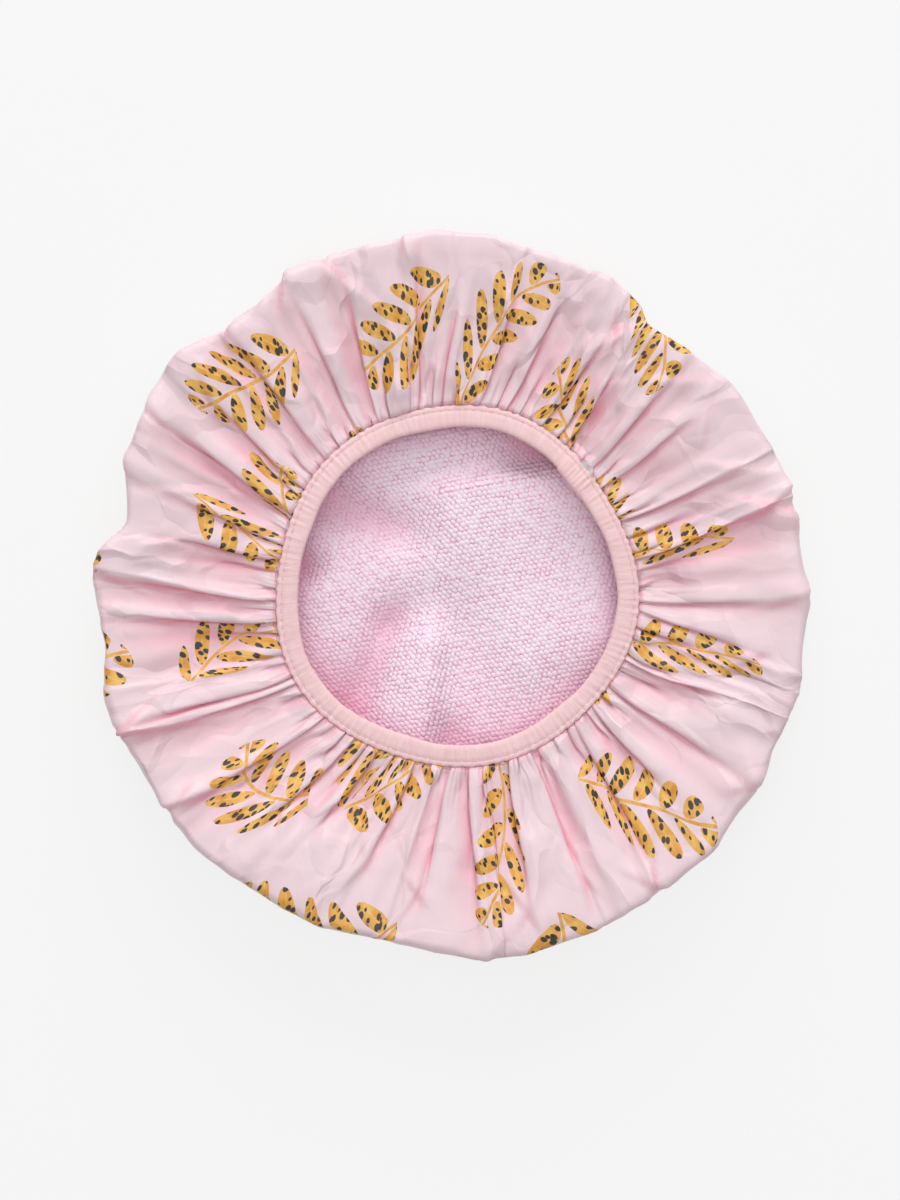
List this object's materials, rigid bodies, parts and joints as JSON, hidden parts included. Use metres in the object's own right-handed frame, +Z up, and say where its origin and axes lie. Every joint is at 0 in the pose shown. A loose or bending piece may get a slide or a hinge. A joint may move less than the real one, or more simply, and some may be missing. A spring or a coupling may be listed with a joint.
{
  "type": "shower cap",
  "caption": "Round lined shower cap lying on its crown: a gathered printed waterproof shell over a looped towelling lining, with a bound elastic mouth on top.",
  "frame": {"origin": "on the crown's flat rest face, under the middle of the elastic mouth", "axes": "+Z up out of the mouth, +Y towards the top of the picture, +X to its right"},
  "size_m": [0.3003, 0.3002, 0.0372],
  "materials": {
    "shell_cloth": "satin, coated, printed",
    "towelling": "matt looped pile",
    "tape_cloth": "matt woven",
    "white_elastic": "matt ribbed",
    "pink_thread": "satin",
    "grey_thread": "satin"
  },
  "bodies": {
    "crown": {"outer_shell": "shell_cloth", "terry_lining": "towelling"},
    "mouth": {"binding_tape": "tape_cloth", "elastic_band": "white_elastic", "elastic_join_tack": "grey_thread", "topstitch_needle_thread": "pink_thread", "topstitch_bobbin_thread": "pink_thread", "overlock_upper_looper": "grey_thread", "overlock_lower_looper": "grey_thread", "overlock_needle_thread": "grey_thread"}
  },
  "joints": [
    {"name": "mouth_lift", "type": "slide", "parent": "crown", "child": "mouth", "axis": [0, 0, 1], "range_m": [-0.01, 0.05], "deforming": ["outer_shell", "terry_lining"]}
  ]
}
